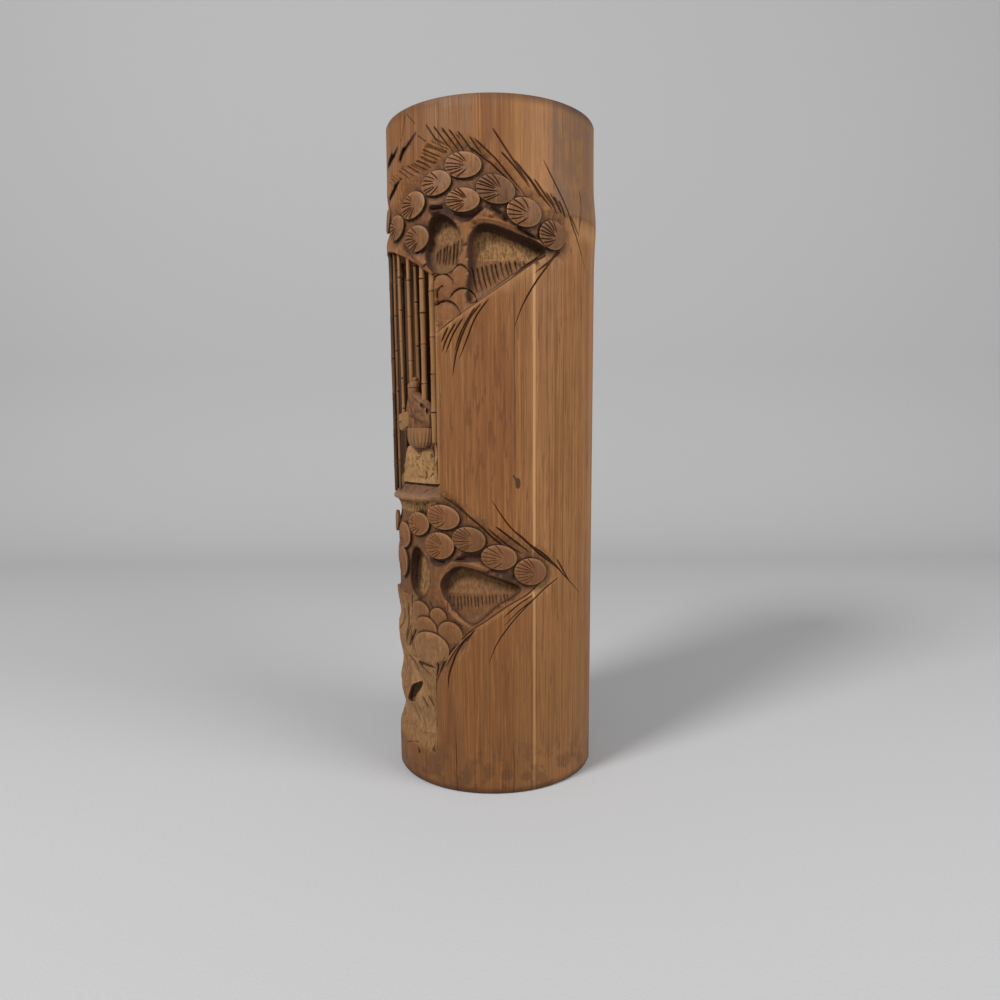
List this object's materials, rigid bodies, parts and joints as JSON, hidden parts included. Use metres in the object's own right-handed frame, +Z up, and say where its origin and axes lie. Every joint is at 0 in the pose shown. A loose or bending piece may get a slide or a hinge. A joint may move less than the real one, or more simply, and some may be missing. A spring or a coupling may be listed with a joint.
{
  "type": "carved bamboo vase",
  "caption": "Tall round bamboo vase, open at the top, its front pierced and carved as a pine and bamboo grove with a robed scholar.",
  "frame": {"origin": "middle of the foot, where the culm stands", "axes": "+Z up the culm towards its mouth; the carved front faces -Y; +X to the right seen from the front"},
  "size_m": [0.1004, 0.1004, 0.305],
  "materials": {
    "stained_bamboo": "satin stain",
    "carved_bamboo": "satin stain",
    "carved_stalk": "satin stain",
    "bamboo_pith": "bare"
  },
  "bodies": {
    "root": {"bamboo_stalk_left_5": "carved_stalk", "bamboo_stalk_left_6": "carved_stalk", "bamboo_stalk_middle": "carved_stalk", "bamboo_stalk_right_1": "carved_stalk", "bamboo_stalk_right_2": "carved_stalk", "bamboo_stalk_right_3": "carved_stalk", "bamboo_stalk_right_4": "carved_stalk", "bamboo_stalk_right_5": "carved_stalk", "bamboo_stalk_right_6": "carved_stalk", "culm_wall": "stained_bamboo", "floor_partition": "bamboo_pith", "lower_pine_pad_left_1": "carved_bamboo", "lower_pine_pad_left_2": "carved_bamboo", "lower_pine_pad_left_3": "carved_bamboo", "lower_pine_pad_left_4": "carved_bamboo", "lower_pine_pad_left_5": "carved_bamboo", "lower_pine_pad_left_6": "carved_bamboo", "lower_pine_pad_left_7": "carved_bamboo", "lower_pine_pad_left_8": "carved_bamboo", "lower_pine_pad_middle": "carved_bamboo", "lower_pine_pad_right_1": "carved_bamboo", "lower_pine_pad_right_2": "carved_bamboo", "lower_pine_pad_right_3": "carved_bamboo", "lower_pine_pad_right_4": "carved_bamboo", "lower_pine_pad_right_5": "carved_bamboo", "lower_pine_pad_right_6": "carved_bamboo", "lower_pine_pad_right_7": "carved_bamboo", "lower_pine_pad_right_8": "carved_bamboo", "lower_rocks_left": "carved_bamboo", "lower_rocks_right": "carved_bamboo", "mound_left": "carved_bamboo", "mound_right": "carved_bamboo", "pine_trunk": "carved_bamboo", "scholar_right": "carved_bamboo", "upper_pine_pad_left_1": "carved_bamboo", "upper_pine_pad_left_2": "carved_bamboo", "upper_pine_pad_left_3": "carved_bamboo", "upper_pine_pad_left_4": "carved_bamboo", "upper_pine_pad_left_5": "carved_bamboo", "upper_pine_pad_left_6": "carved_bamboo", "upper_pine_pad_left_7": "carved_bamboo", "upper_pine_pad_left_8": "carved_bamboo", "upper_pine_pad_left_9": "carved_bamboo", "upper_pine_pad_middle": "carved_bamboo", "upper_pine_pad_right_1": "carved_bamboo", "upper_pine_pad_right_2": "carved_bamboo", "upper_pine_pad_right_3": "carved_bamboo", "upper_pine_pad_right_4": "carved_bamboo", "upper_pine_pad_right_5": "carved_bamboo", "upper_pine_pad_right_6": "carved_bamboo", "upper_pine_pad_right_7": "carved_bamboo", "upper_pine_pad_right_8": "carved_bamboo", "upper_pine_pad_right_9": "carved_bamboo"}
  },
  "joints": []
}
